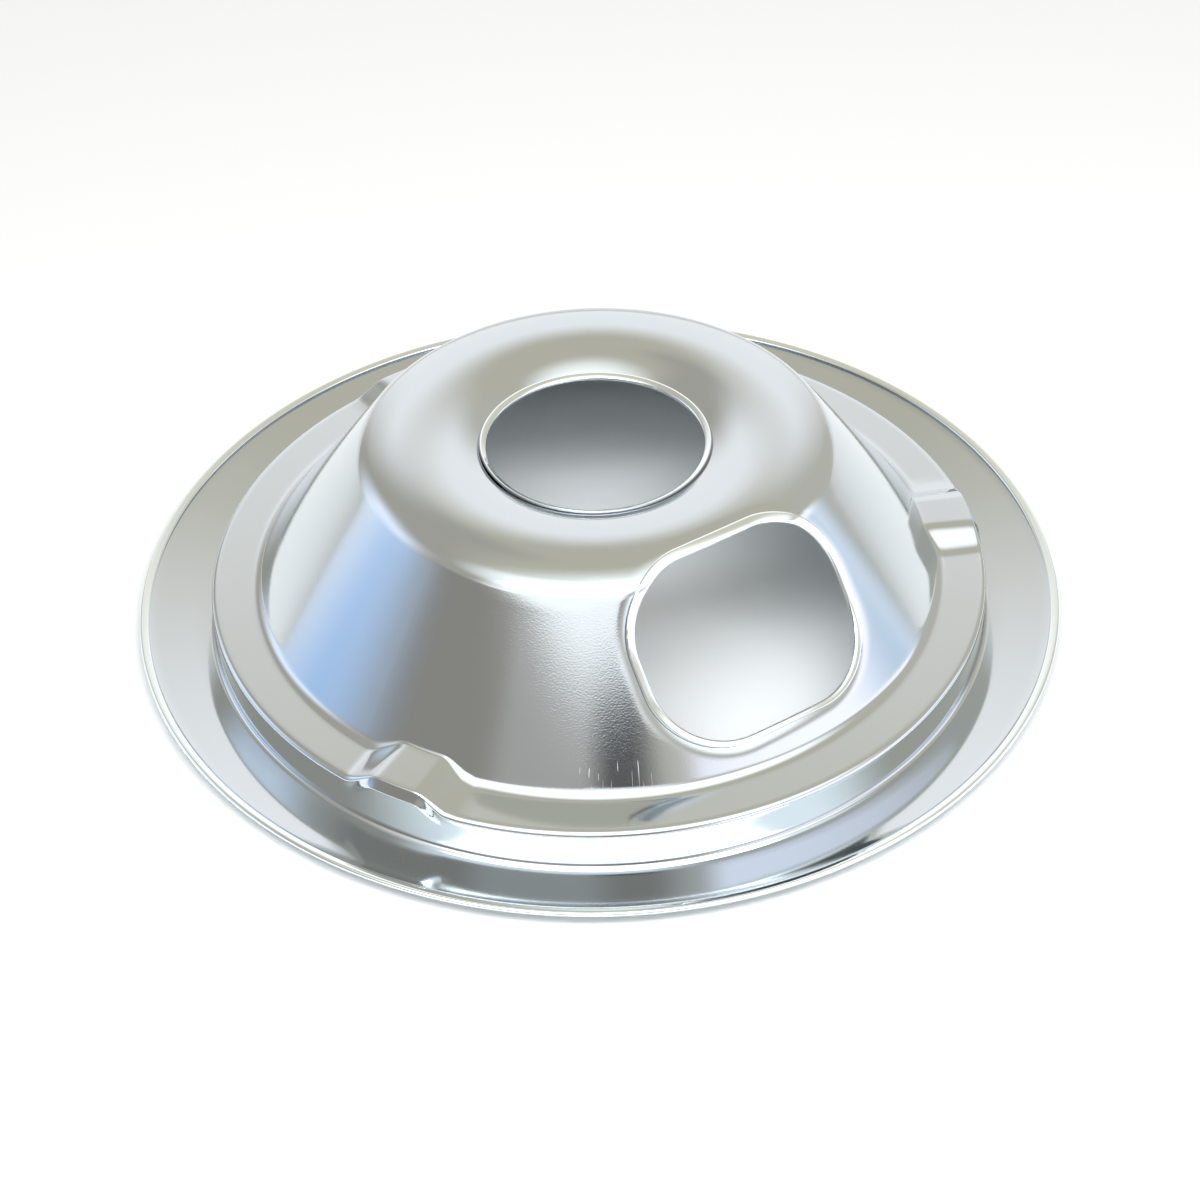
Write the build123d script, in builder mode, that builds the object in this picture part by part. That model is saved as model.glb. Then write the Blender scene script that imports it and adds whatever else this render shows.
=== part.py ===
"""Stove drip pan: one pressed sheet with a rim, a drum, a ledge and a bowl, lying bowl upward.

The section of the skin is drawn once, as the line of the sheet's upper face from the centre hole
out to the rim. The sheet's thickness is laid under that line, and the closed section is revolved.
The side opening and the three notches are then pressed into the revolved shell.
"""

import os
from math import cos, radians, sin, tan

from build123d import *

os.makedirs("parts", exist_ok=True)

# Sheet and its folded edges
sheet = 0.4  # thickness of the sheet
hem_gap = 0.2  # space left inside a folded edge
rim_hem = 1.5  # width of the fold round the rim
hole_hem = 2.0  # width of the fold round the centre hole
opening_hem = 1.8  # width of the fold round the side opening

# Rim, step and ledge
rim_diameter = 197.0
flange_slope = 11.0  # the flange rises outward from its crown, degrees
foot_fillet = 3.0  # hollow between the flange and the step
step_diameter = 165.4  # drum that drops into the cooktop's ring
ledge_height = 9.1  # upper face of the ledge above the table
ledge_fillet = 1.2  # rounded outer edge of the ledge
bowl_fillet = 3.0  # hollow between the ledge and the bowl's wall

# Bowl
pan_height = 44.4  # top of the crest above the table
crest_diameter = 73.5  # ring where the bowl stands highest
crest_radius = 26.0
shoulder_slope = 22.0  # where the crest meets the shoulder, degrees
shoulder_radius = 7.4
wall_slope = 53.5  # the wall from the level, degrees
dip_slope = 14.0  # where the crest starts to dip to the hole, degrees
throat_radius = 8.0
throat_slope = 22.0  # the throat round the hole, degrees
hole_diameter = 45.2

# Side opening, on the wall that faces -Y
opening_width = 48.0
opening_length = 37.6  # measured up the wall
opening_corner = 15.5
opening_height = 30.1  # middle of the opening above the table

# Notches in the ledge for the legs of the heating coil
notch_angle = 64.4  # each side of the opening, and one straight across from it, degrees
notch_width = 10.2  # pad of the notch
notch_run = 6.5  # ramp on each side of the pad
notch_rise_inner = 3.0  # above the ledge, where the pad meets the bowl's wall
notch_rise_outer = 2.5  # above the ledge, at the pad's outer end
notch_rise_end = 0.75  # above the ledge, at the foot of the steep face beyond the pad
notch_face = 0.9  # run of the steep face
notch_end = 1.6  # from the outer end of the pad to the drum

# Sizes that follow from those above
fold_radius = hem_gap / 2
fold_height = sheet + hem_gap
hole_radius = hole_diameter / 2
rim_radius = rim_diameter / 2
step_radius = step_diameter / 2
foot_centre = foot_fillet + sheet
flange_origin = foot_centre - foot_fillet / cos(radians(flange_slope))
rim_fold = rim_radius - sheet - fold_radius * (1 - sin(radians(flange_slope)))
hole_fold = hole_radius + sheet + fold_radius * (1 + sin(radians(throat_slope)))


def flange_level(radius):
    """Height of the flange's upper face at a radius."""
    return flange_origin + (radius - step_radius - foot_fillet) * tan(radians(flange_slope))


# The bowl's skin: the crest, the shoulder and the straight wall down to the ledge
crest_top = (crest_diameter / 2, pan_height)
with BuildLine() as bowl_skin:
    crest = JernArc(crest_top, (1, 0), crest_radius, -shoulder_slope)
    shoulder = JernArc(crest @ 1, crest % 1, shoulder_radius, shoulder_slope - wall_slope)
    wall_top = shoulder @ 1
    wall_run = (wall_top.Y - ledge_height) / tan(radians(wall_slope))
    wall_foot = Vector(wall_top.X + wall_run, ledge_height)
    Line(wall_top, wall_foot)

# The whole section, from the folded edge of the hole out to the folded edge of the rim, revolved
rim_way = Vector(1, 0).rotate(Axis.Z, flange_slope)
throat_way = Vector(1, 0).rotate(Axis.Z, throat_slope)
with BuildPart() as drip_pan:
    with BuildSketch(Plane.XZ):
        with BuildLine():
            dip = JernArc(crest_top, (-1, 0), crest_radius, dip_slope)
            throat = JernArc(dip @ 1, dip % 1, throat_radius, throat_slope - dip_slope)
            lip_length = ((throat @ 1).X - hole_fold) / cos(radians(throat_slope))
            lip = Line(throat @ 1, (throat @ 1) - throat_way * lip_length)
            lip_bend = JernArc(lip @ 1, lip % 1, fold_radius, -180)
            Line(lip_bend @ 1, (lip_bend @ 1) + throat_way * hole_hem)
            add(crest)
            add(shoulder)
            flange = FilletPolyline(
                wall_top,
                wall_foot,
                (step_radius, ledge_height),
                (step_radius, flange_level(step_radius)),
                (rim_fold, flange_level(rim_fold)),
                radius=(bowl_fillet, ledge_fillet, foot_fillet),
            )
            rim_bend = JernArc(flange @ 1, rim_way, fold_radius, 180)
            Line(rim_bend @ 1, (rim_bend @ 1) - rim_way * rim_hem)
            offset(amount=sheet, side=Side.LEFT)
        make_face()
    revolve(axis=Axis.Z)

# The ring of folded sheet that lies on the wall round the side opening
wall_tilt = radians(wall_slope)
opening_radius = wall_foot.X - (opening_height - ledge_height) / tan(wall_tilt)
wall_plane = Plane((0, -opening_radius, opening_height), (1, 0, 0), (0, -sin(wall_tilt), cos(wall_tilt)))


def wall_ring(height, inset, reach):
    """A layer on the bowl's skin, kept where it is between two outlines round the opening."""
    with BuildPart() as ring:
        with BuildSketch(Plane.XZ):
            with BuildLine():
                add(bowl_skin.line)
                offset(amount=height, side=Side.RIGHT)
            make_face()
        revolve(axis=Axis.Z)
        with BuildSketch(wall_plane):
            RectangleRounded(opening_width + 2 * reach, opening_length + 2 * reach, opening_corner + reach)
            RectangleRounded(
                opening_width + 2 * inset,
                opening_length + 2 * inset,
                opening_corner + inset,
                mode=Mode.SUBTRACT,
            )
        extrude(amount=opening_corner, both=True, mode=Mode.INTERSECT)
    return ring.part


# One notch across the ledge at +Y, for the bump and for the hollow beneath it
notch_inner = wall_foot.X - notch_rise_inner / tan(wall_tilt)
notch_outer = step_radius - notch_end
notch_fall = (notch_rise_inner - notch_rise_outer) / (notch_outer - notch_inner)
notch_start = notch_inner - bowl_fillet
notch_stations = (
    (notch_start, notch_rise_inner + bowl_fillet * notch_fall, notch_run),
    (notch_outer, notch_rise_outer, notch_run),
    (notch_outer + notch_face, notch_rise_end, notch_run * notch_rise_end / notch_rise_outer),
)


def notch_block(drop):
    """A block with a pad, a steep face beyond it and a ramp on each side, lowered and held back by drop."""
    flat = notch_width / 2
    level = ledge_height - drop
    base = level - sheet / 2
    with BuildPart() as block:
        for radius, rise, run in notch_stations:
            top = level + rise
            foot = flat + run
            slope_left = ((-foot, base), (-foot, level), (-flat, top))
            slope_right = ((flat, top), (foot, level), (foot, base))
            with BuildSketch(Plane.XZ.offset(drop - radius)):
                with BuildLine():
                    Polyline(*slope_left, *slope_right, close=True)
                make_face()
        loft(ruled=True)
    return block.part


notch_bump = notch_block(0)
notch_hollow = notch_block(sheet)
wall_inside = wall_foot.X - sheet / sin(wall_tilt)
core_height = 2 * notch_rise_inner
opening_fold = wall_ring(fold_height, 0, opening_hem)
fold_space = wall_ring(hem_gap, sheet, opening_hem + sheet)

# The notches and the opening, pressed into the shell
with drip_pan:
    for turn in (0, 180 - notch_angle, notch_angle - 180):
        add(notch_bump, rotation=(0, 0, turn))
        add(notch_hollow, rotation=(0, 0, turn), mode=Mode.SUBTRACT)
    with Locations((0, 0, ledge_height)):
        Cone(
            wall_inside,
            wall_inside - core_height / tan(wall_tilt),
            core_height,
            align=(Align.CENTER, Align.CENTER, Align.MIN),
            mode=Mode.SUBTRACT,
        )
    with BuildSketch(wall_plane):
        RectangleRounded(opening_width, opening_length, opening_corner)
    extrude(amount=opening_corner, both=True, mode=Mode.SUBTRACT)
    add(opening_fold)
    add(fold_space, mode=Mode.SUBTRACT)

drip_pan.part.label = "drip_pan"
export_step(drip_pan.part, "parts/drip_pan.step")
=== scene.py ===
# %% [markdown]
# # A stove drip pan, lying bowl upward
#
# The part is one round of thin steel sheet that was drawn in a press, pierced, folded at its edges
# and chrome plated. This lesson builds its skin as one numpy surface, gives the skin the sheet's
# thickness, plates it, and sets it on a white table under soft light.
#
# The frame comes first. It holds the imported solid that the skin has to stay within.

import bpy
import numpy as np
from mathutils import Matrix


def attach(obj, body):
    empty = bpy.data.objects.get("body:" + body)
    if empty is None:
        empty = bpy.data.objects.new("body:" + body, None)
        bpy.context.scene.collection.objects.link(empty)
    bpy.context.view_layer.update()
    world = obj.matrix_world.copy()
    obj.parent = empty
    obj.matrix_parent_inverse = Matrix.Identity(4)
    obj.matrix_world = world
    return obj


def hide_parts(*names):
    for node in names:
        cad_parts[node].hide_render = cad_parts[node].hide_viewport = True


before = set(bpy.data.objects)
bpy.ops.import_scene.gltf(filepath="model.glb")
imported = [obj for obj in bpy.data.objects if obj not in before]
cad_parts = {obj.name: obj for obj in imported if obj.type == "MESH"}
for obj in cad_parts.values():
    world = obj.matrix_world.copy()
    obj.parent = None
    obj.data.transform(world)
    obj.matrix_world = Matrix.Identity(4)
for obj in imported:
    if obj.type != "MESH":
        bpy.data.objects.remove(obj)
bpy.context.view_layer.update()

# %% [markdown]
# ## The section of the skin
#
# Cut the pan through its axis and the sheet is a line that runs straight or bends at one radius at a
# time: a folded edge at the hole, the throat, the crest, the shoulder, the straight wall, a hollow, the
# ledge, a rounded corner, the upright drum, a tight hollow, the flange and the folded rim. A spline
# through measured points would ripple, and chrome shows every ripple. Strokes of constant bend are what
# press tools are turned to, so the section is a list of strokes, each with a length and a bend.
# All sizes are in millimetres until the mesh is made.

# %% The sizes of the section
MM = 0.001
SHEET = 0.4  # thickness of the steel
FOLD = 0.1  # inside radius of a folded edge
CLEAR = 0.01  # the skin stays this far above the solid's lowest ring
RIM_RADIUS = 98.46
HOLE_RADIUS = 22.6
CREST_RADIUS = 36.75
CREST_HEIGHT = 44.39
DRUM_RADIUS = 82.7
LEDGE_HEIGHT = 9.1
WALL_SLOPE = 53.5
FLANGE_SLOPE = 11.0
THROAT_SLOPE = 27.0
SHOULDER_SLOPE = 22.0
CREST_BEND = 26.0
SHOULDER_BEND = 7.4
BOWL_HOLLOW = 3.0  # between the wall and the ledge
LEDGE_CORNER = 1.2
FOOT_HOLLOW = 1.0  # between the drum and the flange
HOLE_LEG = 1.2  # width of the fold round the hole
RIM_LEG = 1.5  # width of the fold round the rim
WALL_LOW = 6.0  # lowest stretch of the wall, where the notches start
rad = np.radians
print("pan", 2 * RIM_RADIUS, "mm across and", CREST_HEIGHT, "mm high")


# %% The lengths that follow from them
def run_and_fall(bend, first, last):
    """How far an arc runs and falls while its slope goes from a first to a last angle.

    The run is the bend times the difference of the sines, and the fall that of the cosines.
    """
    run = bend * (np.sin(rad(last)) - np.sin(rad(first)))
    return run, bend * (np.cos(rad(first)) - np.cos(rad(last)))


crest_run, crest_fall = run_and_fall(CREST_BEND, 0, SHOULDER_SLOPE)
shoulder_run, shoulder_fall = run_and_fall(SHOULDER_BEND, SHOULDER_SLOPE, WALL_SLOPE)
wall_drop = CREST_HEIGHT - crest_fall - shoulder_fall - LEDGE_HEIGHT
wall_foot = CREST_RADIUS + crest_run + shoulder_run + wall_drop / np.tan(rad(WALL_SLOPE))
hollow_reach = BOWL_HOLLOW * np.tan(rad(WALL_SLOPE / 2))
wall_length = wall_drop / np.sin(rad(WALL_SLOPE)) - hollow_reach - WALL_LOW
ledge_length = DRUM_RADIUS - LEDGE_CORNER - wall_foot - hollow_reach
drum_foot = FOOT_HOLLOW + SHEET + CLEAR
drum_length = LEDGE_HEIGHT - LEDGE_CORNER - drum_foot
rim_fold = RIM_RADIUS - SHEET - FOLD * (1 - np.sin(rad(FLANGE_SLOPE)))
flange_start = DRUM_RADIUS + FOOT_HOLLOW * (1 + np.sin(rad(FLANGE_SLOPE)))
flange_length = (rim_fold - flange_start) / np.cos(rad(FLANGE_SLOPE))
hole_fold = HOLE_RADIUS + SHEET + FOLD * (1 + np.sin(rad(THROAT_SLOPE)))
dip_run, _ = run_and_fall(CREST_BEND, 0, THROAT_SLOPE)
lip_length = (CREST_RADIUS - dip_run - hole_fold) / np.cos(rad(THROAT_SLOPE))
print("wall foot at radius", round(wall_foot, 2), "wall length", round(wall_length + WALL_LOW, 2))

# %% The strokes of the section, from the fold of the hole out to the fold of the rim
# Each stroke: its name, its turn in degrees (left is positive), its bend or length, its grid rows.
DRUM_SHARES = (0.3, 0.2, 0.5)  # at a notch they turn into the steep face, its bend and the drum below
drum_top, drum_middle, drum_low = (share * drum_length for share in DRUM_SHARES)
bowl_strokes = [
    ("hole_leg", 0, HOLE_LEG, 3),
    ("hole_bend", 180, FOLD, 6),
    ("lip", 0, lip_length, 4),
    ("dip", -THROAT_SLOPE, CREST_BEND, 9),
    ("crest", -SHOULDER_SLOPE, CREST_BEND, 9),
    ("shoulder", SHOULDER_SLOPE - WALL_SLOPE, SHOULDER_BEND, 9),
    ("wall", 0, wall_length, 12),
]
ledge_strokes = [
    ("wall_low", 0, WALL_LOW, 10),
    ("bowl_hollow", WALL_SLOPE, BOWL_HOLLOW, 8),
    ("ledge", 0, ledge_length, 10),
    ("ledge_corner", -90, LEDGE_CORNER, 7),
    ("drum_top", 0, drum_top, 3),
    ("drum_middle", 0, drum_middle, 4),
    ("drum_low", 0, drum_low, 3),
]
flange_strokes = [
    ("foot_hollow", 90 + FLANGE_SLOPE, FOOT_HOLLOW, 9),
    ("flange", 0, flange_length, 4),
    ("rim_bend", 180, FOLD, 6),
    ("rim_leg", 0, RIM_LEG, 3),
]
plain_strokes = bowl_strokes + ledge_strokes + flange_strokes
print("strokes", [stroke[0] for stroke in plain_strokes])

# %% [markdown]
# ## The notches in the ledge
#
# Three short blocks pressed up through the ledge take the legs of the heating coil. Each has a nearly
# level pad, a steep face at the drum, and a ramp on each side. Through the middle of a notch the sheet
# has a section of its own, with the same number of strokes as the plain one. Down a ramp the skin slides
# evenly from the one section to the other, which makes the ramp a plane with crisp creases. Pressing the
# notch in as a change of height alone would crumple the drum, because the drum stands upright.

# %% The section through a notch
PAD_HEIGHT = 12.1  # where the pad meets the wall
PAD_SLOPE = 1.0
PAD_END = 81.3  # radius where the pad meets the steep face
FACE_SLOPE = 55.5
PAD_HOLLOW = 0.9  # between the wall and the pad
PAD_CORNER = 0.5  # between the pad and the steep face
FACE_BEND = 0.6  # between the steep face and the drum

pad_rise = PAD_HEIGHT - LEDGE_HEIGHT
pad_start = wall_foot - pad_rise / np.tan(rad(WALL_SLOPE))
pad_run = PAD_END - pad_start
face_run = DRUM_RADIUS - PAD_END
pad_level = PAD_HEIGHT - pad_run * np.tan(rad(PAD_SLOPE))
face_level = pad_level - face_run * np.tan(rad(FACE_SLOPE))
pad_reach = PAD_HOLLOW * np.tan(rad((WALL_SLOPE - PAD_SLOPE) / 2))
corner_reach = PAD_CORNER * np.tan(rad((FACE_SLOPE - PAD_SLOPE) / 2))
face_reach = FACE_BEND * np.tan(rad((90 - FACE_SLOPE) / 2))
wall_cut = WALL_LOW + hollow_reach - pad_rise / np.sin(rad(WALL_SLOPE))
notch_strokes = [
    ("wall_low", 0, wall_cut - pad_reach),
    ("bowl_hollow", WALL_SLOPE - PAD_SLOPE, PAD_HOLLOW),
    ("ledge", 0, pad_run / np.cos(rad(PAD_SLOPE)) - pad_reach - corner_reach),
    ("ledge_corner", PAD_SLOPE - FACE_SLOPE, PAD_CORNER),
    ("drum_top", 0, face_run / np.cos(rad(FACE_SLOPE)) - corner_reach - face_reach),
    ("drum_middle", FACE_SLOPE - 90, FACE_BEND),
    ("drum_low", 0, face_level - face_reach - drum_foot),
]
print("pad from radius", round(pad_start, 2), "to", PAD_END, "face ends at height", round(face_level, 2))


# %% Following a section
def stroke_end(heading, bend, length):
    """How far a stroke carries the pen: the chord of its arc, or its length along a straight heading."""
    straight = np.abs(bend) < 1e-9
    safe = np.where(straight, 1.0, bend)
    last = heading + bend * length
    across = np.where(straight, length * np.cos(heading), (np.sin(last) - np.sin(heading)) / safe)
    upward = np.where(straight, length * np.sin(heading), (np.cos(heading) - np.cos(last)) / safe)
    return np.stack([across, upward], -1)


def trace(strokes):
    """Lengths, bends, headings and corner points of a run of strokes, with the crest in its place.

    Headings are the turns added up, and corners are the strokes' ends added up.
    """
    turns = rad(np.array([stroke[1] for stroke in strokes], float))
    sizes = np.array([stroke[2] for stroke in strokes], float)
    lengths = np.where(turns == 0, sizes, np.abs(turns) * sizes)
    bends = turns / lengths
    headings = rad(180 + THROAT_SLOPE) + np.concatenate([[0], np.cumsum(turns)])
    corners = np.concatenate([[[0, 0]], np.cumsum(stroke_end(headings[:-1], bends, lengths), 0)])
    crest = [stroke[0] for stroke in strokes].index("crest")
    return lengths, bends, headings, corners - corners[crest] + [CREST_RADIUS, CREST_HEIGHT]


plain = trace(plain_strokes)
notch = trace(bowl_strokes + notch_strokes + flange_strokes)
plain_lengths = plain[0]
starts = np.concatenate([[0], np.cumsum(plain_lengths)])
at = {stroke[0]: start for stroke, start in zip(plain_strokes, starts)}
print("section length", round(starts[-1], 1), "mm, the two end", plain[3][-1] - notch[3][-1], "apart")


# %% A point of a section
def section(length, path=plain):
    """Radius, height and normal of a section at a length along the plain one.

    The stroke that holds the length, and the share of it that is passed, are looked up on the plain
    section. The same share of the same stroke is then followed on the path. The normal is the heading
    turned a quarter to the left, which is the pan's outer side as it lies.
    """
    lengths, bends, headings, corners = path
    stroke = np.clip(np.searchsorted(starts, length, side="right") - 1, 0, len(lengths) - 1)
    into = (length - starts[stroke]) / plain_lengths[stroke] * lengths[stroke]
    place = corners[stroke] + stroke_end(headings[stroke], bends[stroke], into)
    heading = headings[stroke] + bends[stroke] * into
    return place[..., 0], place[..., 1], -np.sin(heading), np.cos(heading)


# %% How far a place lies into a notch
NOTCH_TURNS = (91.0, -24.4, -152.6)
NOTCH_FLAT = 5.3  # half the width of the pad
NOTCH_FOOT = 11.0  # half the width between the feet of the ramps
NOTCH_SOFT = 0.26  # rounding of the creases, as a share of a ramp


def softened(value):
    """Zero below nothing and the value itself above it, with a parabola across the crease between them."""
    bent = np.maximum(value + NOTCH_SOFT, 0) ** 2 / (4 * NOTCH_SOFT)
    return np.where(value > NOTCH_SOFT, value, bent)


def notch_share(angle, radius):
    """Zero on the plain ledge, one on a pad, and even down the ramps between them, with soft creases."""
    share = np.zeros(np.shape(angle))
    for turn in NOTCH_TURNS:
        across = np.abs(radius * np.sin(angle - rad(turn)))
        ramp = (NOTCH_FOOT - across) / (NOTCH_FOOT - NOTCH_FLAT)
        near = np.cos(angle - rad(turn)) > 0
        share = share + np.where(near, softened(ramp) - softened(ramp - 1), 0)
    return share


print("notches at", NOTCH_TURNS, "degrees,", 2 * NOTCH_FOOT, "mm wide at the foot")

# %% [markdown]
# ## The side opening and its dished edge
#
# The wall that faces -Y has an opening for the coil's terminals: a rectangle with large round corners,
# pierced square to the wall. Its edge was dished inward a little before it was folded, which draws a
# bright halo round it in the chrome. The dish depends only on how far a point of the wall lies from the
# outline, so it is a signed distance in the wall's plane.

# %% The outline of the opening
OPENING_HALF = np.array([24.0, 18.8])
OPENING_CORNER = 15.5
OPENING_LEVEL = 30.1
opening_radius = wall_foot - (OPENING_LEVEL - LEDGE_HEIGHT) / np.tan(rad(WALL_SLOPE))
wall_origin = np.array([0.0, -opening_radius, OPENING_LEVEL])
wall_up = np.array([0.0, np.cos(rad(WALL_SLOPE)), np.sin(rad(WALL_SLOPE))])
wall_out = np.array([0.0, -np.sin(rad(WALL_SLOPE)), np.cos(rad(WALL_SLOPE))])


def outline_gap(across, upward):
    """Distance from the outline in the wall's plane: that from an inner rectangle, less the corner."""
    over = np.abs(np.stack([across, upward], -1)) - (OPENING_HALF - OPENING_CORNER)
    outside = np.linalg.norm(np.maximum(over, 0), axis=-1)
    inside = np.minimum(over.max(-1), 0)
    return outside + inside - OPENING_CORNER


def outline(angle, grown, rounds=60, ease=0.7):
    """A point of the outline, grown outward, in each direction from its middle.

    The ray from the middle is lengthened until its distance from the outline equals the growth.
    """
    way = np.stack([np.cos(angle), np.sin(angle)], -1)
    reach = np.full(np.shape(angle), OPENING_HALF[1])
    for _ in range(rounds):
        reach = reach + ease * (grown - outline_gap(reach * way[..., 0], reach * way[..., 1]))
    return reach * way[..., 0], reach * way[..., 1]


print("opening", 2 * OPENING_HALF, "mm, its middle at", wall_origin.round(2))

# %% [markdown]
# ## The skin as a function of an angle and a length
#
# With the two sections and the dish in hand, any point of the skin follows from two numbers: the angle
# round the axis and the length along the section. Its normal comes from stepping a little each way, so
# it includes the dish and the notches. The fold round the hole is pressed shut, apart from one side
# where its free edge stands off.

# %% The skin
DISH_DEPTH = 0.8
DISH_REACH = 3.7  # how far from the outline the dish starts
DISH_PAST = 1.0  # how far inside the outline it goes on
DISH_MOST = 1.2  # and the share of its depth that it may reach there
FOLD_SHUT = 0.17  # how far the free edge of the hole's fold is pressed down
LIFT_TURN = 167.0  # where that edge stands off
LIFT = 0.42
LIFT_POWER = 6  # how soon it closes again to both sides
UP = np.array([0, 0, 1])


def skin(angle, length):
    """The skin's point: two sections mixed by the notch's share, swung round the axis, sunk by the dish."""
    radius, height, out, up = section(length)
    notch_radius, notch_height, _, _ = section(length, notch)
    share = notch_share(angle, radius)
    lift = LIFT * np.clip(np.cos(angle - rad(LIFT_TURN)), 0, 1) ** LIFT_POWER - FOLD_SHUT
    height = height + share * (notch_height - height) + lift * np.clip(1 - length / HOLE_LEG, 0, 1)
    radius = radius + share * (notch_radius - radius)
    ring = np.stack([np.cos(angle), np.sin(angle), np.zeros_like(angle)], -1)
    base = ring * radius[..., None] + UP * height[..., None]
    normal = ring * out[..., None] + UP * up[..., None]
    from_middle = base - wall_origin
    gap = outline_gap(from_middle[..., 0], from_middle @ wall_up)
    bowl = (length > at["dip"]) & (length < at["ledge"]) & (base[..., 1] < 0)
    sunk = np.clip(1 - np.maximum(gap, -DISH_PAST) / DISH_REACH, 0, DISH_MOST)
    return base - normal * np.where(bowl, DISH_DEPTH * sunk**2, 0)[..., None]


# %% Its normal, and the places of the wall's plane on it
MID_RADIUS = 60  # about the middle of the wall


def skin_normal(angle, length, step=0.02):
    """The normal: the cross product of a small step along the section and one round the axis."""
    turn = step / MID_RADIUS
    along = skin(angle, length + step) - skin(angle, length - step)
    around = skin(angle + turn, length) - skin(angle - turn, length)
    normal = np.cross(along, around)
    return normal / np.linalg.norm(normal, axis=-1, keepdims=True)


def on_wall(across, upward, rounds=60, ease=1.7):
    """Angle and length of the point of the bowl under a point of the wall's plane.

    The point sinks along the plane's normal until its height is that of the section at its radius.
    """
    table = np.linspace(at["crest"] - 8, at["bowl_hollow"] + 2, 4000)
    radii, heights, _, _ = section(table)
    plane = wall_origin + across[..., None] * np.array([1.0, 0, 0]) + upward[..., None] * wall_up
    depth = np.zeros(across.shape)
    for _ in range(rounds):
        point = plane - depth[..., None] * wall_out
        radius = np.hypot(point[..., 0], point[..., 1])
        depth = depth + (point[..., 2] - np.interp(radius, radii, heights)) / ease
    return np.arctan2(point[..., 1], point[..., 0]), np.interp(radius, radii, table)


# %% [markdown]
# ## The grid
#
# The skin is a grid of columns round the axis and rows along the section. The columns lie closer at the
# notches, because their creases are sharp. A block of cells round the opening is left out, and a ring of
# its own fills the space between the block's border and the outline, so the outline is a clean row of
# edges. The ring then goes on over the fold and back along the wall: that is the folded edge.

# %% Columns and rows
BLOCK = (-126.0, -54.0)  # the angles of the block that is left out
spans = [
    (-180.0, -164.0, 8),
    (-164.0, -145.0, 54),
    (-145.0, BLOCK[0], 10),
    (*BLOCK, 54),
    (BLOCK[1], -35.0, 10),
    (-35.0, -16.0, 54),
    (-16.0, 80.5, 48),
    (80.5, 99.5, 54),
    (99.5, 180.0, 40),
]


def steps(low, high, count):
    """Even steps from low up to high, without high itself."""
    return np.linspace(low, high, count, endpoint=False)


rows = [stroke[3] for stroke in plain_strokes]
columns = rad(np.concatenate([steps(*span) for span in spans]))
stations = np.concatenate([*map(steps, starts[:-1], starts[1:], rows), starts[-1:]])
angle_grid, length_grid = np.meshgrid(columns, stations, indexing="ij")
grid_points = skin(angle_grid, length_grid)
print("columns", len(columns), "rows", len(stations))


# %% Faces of the grid, without the block round the opening
def nearest(values, wanted):
    """The place in a list of the value that lies nearest to the wanted one."""
    return int(np.argmin(np.abs(values - wanted)))


first_column, last_column = (nearest(columns, rad(side)) for side in BLOCK)
first_row = nearest(stations, at["crest"])
last_row = nearest(stations, at["bowl_hollow"])
number = np.arange(angle_grid.size).reshape(angle_grid.shape)
closed = np.concatenate([number, number[:1]])
faces = np.stack([closed[:-1, :-1], closed[:-1, 1:], closed[1:, 1:], closed[1:, :-1]], -1)
keep = np.ones(faces.shape[:2], bool)
keep[first_column:last_column, first_row:last_row] = False
grid_faces = faces[keep]
print("faces of the grid", len(grid_faces))

# %% The border of the block, once round
border = np.concatenate([
    number[first_column:last_column, last_row],
    number[last_column, last_row:first_row:-1],
    number[last_column:first_column:-1, first_row],
    number[first_column, first_row:last_row],
])
border_angle = angle_grid.reshape(-1)[border]
border_length = length_grid.reshape(-1)[border]
border_place = grid_points.reshape(-1, 3)[border] - wall_origin
spoke = np.arctan2(border_place @ wall_up, border_place[:, 0])
print("points on the border", len(border))

# %% The wall from the border in to the outline
HEM_EDGE = SHEET + FOLD  # the bend's own reach into the opening
RING_ROWS = 16
RING_CROWD = 1.25  # the rows lie closer towards the outline
edge_angle, edge_length = on_wall(*outline(spoke, HEM_EDGE))
inward = np.linspace(1, 0, RING_ROWS + 1)[1:, None] ** RING_CROWD
ring_angle = edge_angle + (border_angle - edge_angle) * inward
ring_length = edge_length + (border_length - edge_length) * inward
wall_rings = skin(ring_angle, ring_length)
print("rings on the wall", wall_rings.shape)

# %% The folded edge: over a half-round bend, and back along the wall
HEM_LEG = 1.3  # width of the folded edge past its bend
HEM_LOW = 0.7  # how much narrower it is at the bottom
HEM_SHUT = 0.08  # how far its free edge is pressed down
hem_leg = HEM_LEG - HEM_LOW * np.clip(-np.sin(spoke), 0, 1) ** 2
leg_share = np.linspace(0, 1, 5)
leg_place = [on_wall(*outline(spoke, HEM_EDGE + hem_leg * part)) for part in leg_share]
leg_angle = np.stack([place[0] for place in leg_place])
leg_length = np.stack([place[1] for place in leg_place])
leg_points = skin(leg_angle, leg_length)
leg_normal = skin_normal(leg_angle, leg_length)
outward = leg_points[1] - leg_points[0]
outward = outward / np.linalg.norm(outward, axis=-1, keepdims=True)
swing = np.linspace(0, np.pi, 7)[1:-1, None, None]
bend_rings = leg_points[0] + FOLD * ((1 - np.cos(swing)) * leg_normal[0] - np.sin(swing) * outward)
leg_rings = leg_points + (2 * FOLD - HEM_SHUT * leg_share)[:, None, None] * leg_normal
print("rings of the fold", len(bend_rings) + len(leg_rings))


# %% Faces of the ring
def quads(near, far):
    """Four-cornered faces between two rows of vertex numbers, in the order that faces them outward."""
    return np.stack([near[:-1], near[1:], far[1:], far[:-1]], -1)


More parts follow.
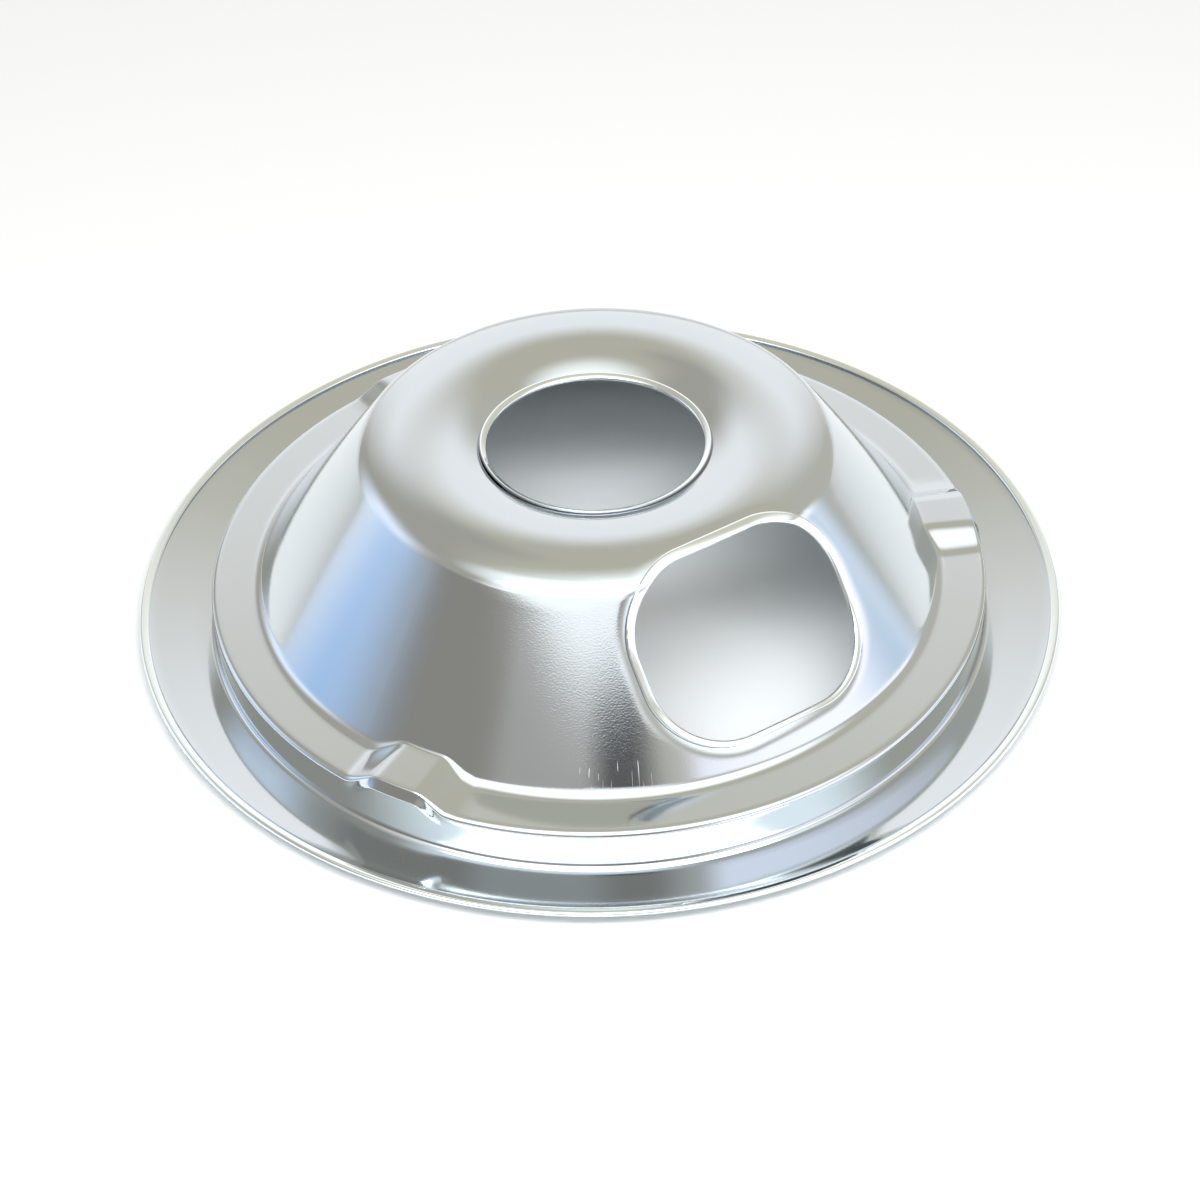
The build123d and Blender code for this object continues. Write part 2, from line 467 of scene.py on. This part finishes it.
rings = np.concatenate([wall_rings, bend_rings, leg_rings])
bend_rows = np.zeros((len(bend_rings), 1))
rings_angle = np.concatenate([ring_angle, edge_angle + bend_rows, leg_angle])
rings_length = np.concatenate([ring_length, edge_length + bend_rows, leg_length])
ring_number = np.arange(rings_angle.size).reshape(rings_angle.shape) + number.size
loops = np.concatenate([border[None], ring_number])
loops = np.concatenate([loops, loops[:, :1]], 1)
ring_faces = np.concatenate([quads(near, far) for near, far in zip(loops[:-1], loops[1:])])
print("faces of the ring", len(ring_faces))

# %% [markdown]
# ## From skin to sheet
#
# The arrays go into one mesh, without the vertices that the block left unused. A Solidify modifier then
# gives the skin the thickness of the steel on its inner side. The alternative, a second grid for the
# inner face, would have to repeat every fold, and Solidify does that by itself. Its rim faces are the
# cut edges of the sheet and its second shell is the inside of the pan, so both take materials of their
# own. The mesh also keeps the way round and the length of each point as a UV map in metres, so that
# marks of the press can follow the sheet.

# %% The mesh of the pan
all_points = np.concatenate([grid_points.reshape(-1, 3), rings.reshape(-1, 3)])
all_faces = np.concatenate([grid_faces, ring_faces])
used, packed = np.unique(all_faces, return_inverse=True)
mesh = bpy.data.meshes.new("pressed_pan")
mesh.from_pydata((all_points[used] * MM).tolist(), [], packed.reshape(all_faces.shape).tolist())
mesh.polygons.foreach_set("use_smooth", np.ones(len(mesh.polygons), bool))
print("mesh", len(mesh.vertices), "vertices", len(mesh.polygons), "faces before thickness")

# %% The sheet map
# Faces across the seam at half a circle take the angles past it, so that the map doesn't fold back.
all_angles = np.concatenate([angle_grid.reshape(-1), rings_angle.reshape(-1)])
all_lengths = np.concatenate([length_grid.reshape(-1), rings_length.reshape(-1)])
face_angles = all_angles[all_faces]
seam = np.ptp(face_angles, axis=1, keepdims=True) > np.pi
face_angles = np.where(seam & (face_angles < 0), face_angles + 2 * np.pi, face_angles)
sheet_map = np.stack([face_angles * wall_foot * MM, all_lengths[all_faces] * MM], -1)
mesh.uv_layers.new(name="sheet_map").data.foreach_set("uv", sheet_map.reshape(-1))
mesh.update()
print("sheet map", sheet_map.reshape(-1, 2).min(0), sheet_map.reshape(-1, 2).max(0))

# %% The thickness
pan = bpy.data.objects.new("pressed_pan", mesh)
bpy.context.collection.objects.link(pan)
wall_thickness = pan.modifiers.new("sheet_thickness", "SOLIDIFY")
wall_thickness.thickness = SHEET * MM
wall_thickness.offset = -1.0
wall_thickness.use_even_offset = True
wall_thickness.use_quality_normals = True
wall_thickness.material_offset_rim = 1
wall_thickness.material_offset = 2
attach(pan, "root")
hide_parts("drip_pan")
print("thickness", SHEET, "mm")

# %% [markdown]
# ## Chrome plate
#
# The plate is bright chromium over nickel on drawn steel. It mirrors the room, a little soft, because
# the drawn sheet below is not quite smooth: where the metal flowed most, on the wall, it has an orange
# peel of about a third of a millimetre. The punch left a few upright lines at the foot of the wall, and
# the folded edge of the opening has one dark spot. Marks follow the sheet, so they read the sheet map:
# across is the way round, down is the length from the hole.


# %% Helpers for materials
def linear(code):
    """Linear colour of an sRGB hex code."""
    part = np.array([int(code[k : k + 2], 16) for k in (1, 3, 5)]) / 255
    low = part / 12.92
    high = ((part + 0.055) / 1.055) ** 2.4
    return (*np.where(part <= 0.04045, low, high), 1.0)


def surface(name, values):
    """A material and its shader, with what is the same all over it set on the shader's own sockets."""
    material = bpy.data.materials.new(name)
    material.use_nodes = True
    shader = material.node_tree.nodes["Principled BSDF"]
    for socket, value in values.items():
        shader.inputs[socket].default_value = value
    return material, shader


def add_node(tree, kind, inputs=None, **settings):
    """A shader node with its settings, and its inputs set to values or linked to other nodes' sockets."""
    node = tree.nodes.new(kind)
    for key, value in settings.items():
        setattr(node, key, value)
    for key, value in (inputs or {}).items():
        if isinstance(value, bpy.types.NodeSocket):
            tree.links.new(value, node.inputs[key])
        else:
            node.inputs[key].default_value = value
    return node


# %% The chrome
# Bright chromium over nickel gives the eye a cool mirror, with hardly any colour of its own.
chrome, plate = surface("bright_chrome_plate", {"Metallic": 1.0})
tree = chrome.node_tree
coords = add_node(tree, "ShaderNodeTexCoord").outputs["Object"]
sheet = add_node(tree, "ShaderNodeUVMap", uv_map="sheet_map").outputs["UV"]
across, down, _ = add_node(tree, "ShaderNodeSeparateXYZ", {"Vector": sheet}).outputs


def band(value, low, high, soft):
    """One while a socket lies between two lengths in millimetres, eased to zero across their borders."""
    sides = []
    for foot, top in ((low, low + soft), (high, high - soft)):
        limits = {"Value": value, "From Min": foot * MM, "From Max": top * MM}
        side = add_node(tree, "ShaderNodeMapRange", limits, interpolation_type="SMOOTHSTEP")
        sides.append(side.outputs["Result"])
    return add_node(tree, "ShaderNodeMath", dict(enumerate(sides)), operation="MULTIPLY").outputs[0]


# %% Orange peel
PEEL = 0.33  # its size, mm
PEEL_DEPTH = 0.0045
PEEL_LEAST = 0.15  # its strength where the metal hardly flowed
DRAWN_SOFT = 8.0  # over which it grows to full strength
drawn = band(down, at["shoulder"], at["ledge"], DRAWN_SOFT)
share = {0: drawn, 1: 1 - PEEL_LEAST, 2: PEEL_LEAST}
peel_strength = add_node(tree, "ShaderNodeMath", share, operation="MULTIPLY_ADD").outputs[0]
peel = add_node(tree, "ShaderNodeTexNoise", {"Vector": coords, "Scale": 1 / (PEEL * MM), "Detail": 1.0})
bumps = {"Height": peel.outputs["Fac"], "Strength": peel_strength, "Distance": PEEL_DEPTH * MM}
peel_bump = add_node(tree, "ShaderNodeBump", bumps)
tree.links.new(peel_bump.outputs["Normal"], plate.inputs["Normal"])
print("orange peel", PEEL, "mm")

# %% Draw lines
LINE_WIDTH = 0.28  # mm
LINE_LENGTH = 6.0
LINE_TURNS = (-128.0, -111.0)  # the side of the bowl that has them, degrees
LINE_FOOT = (-6, 1)  # from the lower end of the wall, mm
LINE_CUT = (0.8, 0.84)  # the part of the noise that is a line
SMOOTH, SCRATCHED = 0.085, 0.35  # roughness of the plate, and what a line adds
line_scale = (1 / (LINE_WIDTH * MM), 1 / (LINE_LENGTH * MM), 1)
stretched = add_node(tree, "ShaderNodeMapping", {"Vector": sheet, "Scale": line_scale}).outputs[0]
streaks = {"Vector": stretched, "Scale": 1.0, "Detail": 0.0}
lines = add_node(tree, "ShaderNodeTexNoise", streaks, noise_dimensions="2D").outputs["Fac"]
limits = {"Value": lines, "From Min": LINE_CUT[0], "From Max": LINE_CUT[1]}
cut_lines = add_node(tree, "ShaderNodeMapRange", limits, interpolation_type="SMOOTHSTEP").outputs["Result"]
line_side = band(across, *(rad(turn) * wall_foot for turn in LINE_TURNS), 2.0)
line_foot = band(down, *(at["bowl_hollow"] + end for end in LINE_FOOT), 1.5)
line_area = add_node(tree, "ShaderNodeMath", {0: line_side, 1: line_foot}, operation="MULTIPLY").outputs[0]
scratch = add_node(tree, "ShaderNodeMath", {0: line_area, 1: cut_lines}, operation="MULTIPLY").outputs[0]
rough = {0: scratch, 1: SCRATCHED, 2: SMOOTH}
roughness = add_node(tree, "ShaderNodeMath", rough, operation="MULTIPLY_ADD").outputs[0]
tree.links.new(roughness, plate.inputs["Roughness"])
print("draw lines between", LINE_TURNS, "degrees")

# %% The dark spot
SPOT_TURN = -105.5
SPOT_DOWN = 29.1  # from the shoulder down the wall, mm
SPOT_HALF = (2.0, 0.6)
SPOT_TILT = 27.0
SPOT_BORDER = (1.2, 0.7)  # where it fades, in shares of its half-widths
spot_frame = {
    "Vector": sheet,
    "Location": (rad(SPOT_TURN) * wall_foot * MM, (at["wall"] + SPOT_DOWN) * MM, 0),
    "Rotation": (0, 0, rad(SPOT_TILT)),
    "Scale": (SPOT_HALF[0] * MM, SPOT_HALF[1] * MM, 1),
}
spot_place = add_node(tree, "ShaderNodeMapping", spot_frame, vector_type="TEXTURE").outputs[0]
spot_gap = add_node(tree, "ShaderNodeVectorMath", {0: spot_place}, operation="LENGTH").outputs["Value"]
limits = {"Value": spot_gap, "From Min": SPOT_BORDER[0], "From Max": SPOT_BORDER[1]}
spot = add_node(tree, "ShaderNodeMapRange", limits, interpolation_type="SMOOTHSTEP").outputs["Result"]
tints = {"Factor": spot, 6: linear("#D6DDE2"), 7: linear("#33222A")}
tint = add_node(tree, "ShaderNodeMix", tints, data_type="RGBA").outputs[2]
tree.links.new(tint, plate.inputs["Base Color"])
mesh.materials.append(chrome)
print("chrome nodes", len(tree.nodes))

# %% [markdown]
# ## The cut edges and the inside
#
# Bare steel shows at a sheared edge, where the plate is thin: duller than the chrome, and darker still as
# painted shade for the thin dark line along each fold. The hollow side is smoother, with no peel, and its
# colour is brighter than chrome's as painted light, to lighten the inside seen through the openings. Both
# are plain metals, and Solidify hands them out by the order of the slots.

# %% The cut edge and the inside
# The cut edge: bare steel, duller than the chrome, and darker still as painted shade along the folds.
edge_shade_values = {"Metallic": 1.0, "Base Color": linear("#A6A8AC"), "Roughness": 0.35}
# The inside: smoother than the outside, and brighter than chrome as painted light for the dim inside.
inside_light_values = {"Metallic": 1.0, "Base Color": linear("#F5FDFF"), "Roughness": 0.05}
mesh.materials.append(surface("sheared_edge_painted_shade", edge_shade_values)[0])
mesh.materials.append(surface("inside_plate_painted_light", inside_light_values)[0])
print("materials", [slot.name for slot in mesh.materials])

# %% [markdown]
# ## The table, the light and the camera
#
# The pan lies on a white table in a pale room. Chrome has no colour of its own, so what stands round it
# is half of its look: two flat oval lights overhead, white screens in front, behind and to the right, a
# window at the left, and dimmer walls between them. The screens and walls are soft-edged patches of the
# world's colour, which cost nothing to render. The lights overhead are area lights, because they also
# have to light the table and the inside of the pan.

# %% The table
# White matt card: even and without gloss, so that the pan's shadow shows soft.
TABLE_HALF = 3.0
table_mesh = bpy.data.meshes.new("white_table")
square = np.array([[-1, -1, 0], [1, -1, 0], [1, 1, 0], [-1, 1, 0]]) * TABLE_HALF
table_mesh.from_pydata(square.tolist(), [], [(0, 1, 2, 3)])
table = bpy.data.objects.new("white_table", table_mesh)
bpy.context.collection.objects.link(table)
paper_values = {"Base Color": linear("#E9E9E9"), "Roughness": 0.9, "Specular IOR Level": 0.2}
table_mesh.materials.append(surface("white_table_paper", paper_values)[0])
print("table", 2 * TABLE_HALF, "m wide")

# %% Directions as the camera's side of the room has them
PHOTO_TURN = rad(-32.7)
c, s = np.cos(PHOTO_TURN), np.sin(PHOTO_TURN)
turned = np.array([[c, -s, 0], [s, c, 0], [0, 0, 1]])

world = bpy.data.worlds.new("studio")
bpy.context.scene.world = world
world.use_nodes = True
room = world.node_tree
background = room.nodes["Background"]
way = add_node(room, "ShaderNodeTexCoord").outputs["Generated"]


def towards(axis):
    """How far a direction points along an axis of the room, where +Y is away from the camera."""
    pair = {0: way, 1: turned @ np.array(axis)}
    return add_node(room, "ShaderNodeVectorMath", pair, operation="DOT_PRODUCT").outputs["Value"]


upward = {0: towards((0.0, 0.0, 1.0))}
sideways = {0: towards((1.0, 0.0, 0.0)), 1: towards((0.0, -1.0, 0.0))}
rise = add_node(room, "ShaderNodeMath", upward, operation="ARCSINE").outputs[0]
turn = add_node(room, "ShaderNodeMath", sideways, operation="ARCTAN2").outputs[0]


# %% A patch of the room
def patch(colour, turns, rises, code, strength):
    """The room's colour with a patch on it, whose weight fades across the borders of its two spans.

    A span is its middle, its width and the width of its border, in degrees. The turn is counted from the
    camera's side round to the right, and wrapped to half a circle each way.
    """
    weights = []
    for value, (middle, width, soft) in ((turn, turns), (rise, rises)):
        past = add_node(room, "ShaderNodeMath", {0: value, 1: rad(middle)}, operation="SUBTRACT").outputs[0]
        circle = {0: past, 1: np.pi, 2: -np.pi}
        wrapped = add_node(room, "ShaderNodeMath", circle, operation="WRAP").outputs[0]
        far = add_node(room, "ShaderNodeMath", {0: wrapped}, operation="ABSOLUTE").outputs[0]
        limits = {"Value": far, "From Min": rad((width + soft) / 2), "From Max": rad((width - soft) / 2)}
        weight = add_node(room, "ShaderNodeMapRange", limits, interpolation_type="SMOOTHSTEP")
        weights.append(weight.outputs["Result"])
    both = add_node(room, "ShaderNodeMath", dict(enumerate(weights)), operation="MULTIPLY").outputs[0]
    bright = [strength * part for part in linear(code)[:3]] + [1.0]
    mix = {"Factor": both, 6: colour, 7: bright}
    return add_node(room, "ShaderNodeMix", mix, data_type="RGBA").outputs[2]


# %% The room
# Each patch: its name, its span of turns, its span of rises, its colour, its strength.
patches = [
    ("ceiling_behind", (185, 150, 12), (60, 66, 12), "#C4BEAD", 1.0),
    ("wall_left", (250, 112, 15), (27, 72, 15), "#B0ABA0", 1.0),
    ("wall_front_left", (331, 94, 14), (14, 32, 5), "#948F87", 1.0),
    ("wall_right", (122, 76, 17), (24, 44, 17), "#C4BFB3", 1.0),
    ("screen_behind", (180, 55, 24), (-3, 86, 24), "#FDFBFA", 1.0),
    ("window_left", (250, 36, 25), (16, 38, 25), "#EAF2FF", 1.2),
    ("sky_left", (269, 35, 28), (2, 28, 28), "#ABCBF4", 1.0),
    ("screen_right", (70, 84, 10), (7, 43, 10), "#F8F5FF", 1.3),
    ("sky_right", (99, 25, 23), (-2, 23, 23), "#AFCBDD", 1.0),
    ("panel_front", (342, 34, 12), (18, 26, 3), "#ADAAA4", 1.0),
    ("dark_bar_front", (6, 17, 12), (29.8, 3.0, 1.4), "#17191C", 1.0),
    ("screen_front", (344, 72, 24), (43.5, 25, 1.2), "#FFFFFF", 1.25),
]
colour = linear("#C8C4BA")
for _, turns, rises, code, strength in patches:
    colour = patch(colour, turns, rises, code, strength)
room.links.new(colour, background.inputs["Color"])
background.inputs["Strength"].default_value = 1.13
print("room", [row[0] for row in patches])


# %% The lights overhead
def flat_light(name, height, place, half, soft, radiance):
    """A flat oval light overhead, facing down, placed and sized in shares of its height.

    Its place is to the right of the pan and away from the camera. Its power is its radiance times its
    area times pi, and its light fades to nothing over the outer share of its half-widths that is soft.
    """
    light = bpy.data.lights.new(name, "AREA")
    light.shape = "ELLIPSE"
    light.color = linear("#F4FAFF")[:3]
    light.size, light.size_y = 2 * half[0] * height, 2 * half[1] * height
    light.energy = radiance * np.pi * np.pi * half[0] * half[1] * height**2
    light.use_nodes = True
    glow = light.node_tree
    spread = add_node(glow, "ShaderNodeNewGeometry").outputs["Parametric"]
    from_centre = {0: spread, 1: (0.5, 0.5, 0.0)}
    far = add_node(glow, "ShaderNodeVectorMath", from_centre, operation="DISTANCE").outputs["Value"]
    limits = {"Value": far, "From Min": 0.5, "From Max": 0.5 * (1 - soft)}
    fall = add_node(glow, "ShaderNodeMapRange", limits, interpolation_type="SMOOTHSTEP").outputs["Result"]
    glow.links.new(fall, glow.nodes["Emission"].inputs["Strength"])
    lamp = bpy.data.objects.new(name, light)
    lamp.location = turned @ np.array([*place, 1.0]) * height
    lamp.rotation_euler.z = PHOTO_TURN
    lamp.visible_camera = False
    bpy.context.collection.objects.link(lamp)
    print(name, round(light.energy, 1), "W")


flat_light("overhead_screen", 3.0, (0.2, -0.45), (1.3, 0.8), 0.5, 0.95)
flat_light("overhead_strip", 0.5, (0.05, -0.6), (0.78, 0.22), 0.2, 8.0)

# %% The camera
TARGET = np.array([0.16, -6.36, 3.5]) * MM  # the point of the pan in the middle of the picture
DISTANCE = 0.6
RISE = 0.70302  # above the table, radians
ROLL = -0.02478
SENSOR = 36.0
FOCAL = 2804.3 / 1200  # in widths of the picture
sight = turned @ np.array([0, np.cos(RISE), -np.sin(RISE)])
level = turned @ np.array([1.0, 0, 0])
upright = turned @ np.array([0, np.sin(RISE), np.cos(RISE)])
eye = turned @ TARGET - DISTANCE * sight
right = np.cos(ROLL) * level + np.sin(ROLL) * upright
top = -np.sin(ROLL) * level + np.cos(ROLL) * upright
facing = Matrix(np.stack([right, top, -sight], 1).tolist()).to_4x4()
lens = bpy.data.cameras.new("camera")
lens.sensor_width, lens.lens = SENSOR, FOCAL * SENSOR
lens.clip_start = 0.01
camera = bpy.data.objects.new("camera", lens)
camera.matrix_world = Matrix.Translation(eye.tolist()) @ facing
bpy.context.collection.objects.link(camera)
bpy.context.scene.camera = camera
bpy.context.scene.view_settings.view_transform = "Standard"
print("camera at", eye.round(3), "lens", round(lens.lens, 1), "mm")
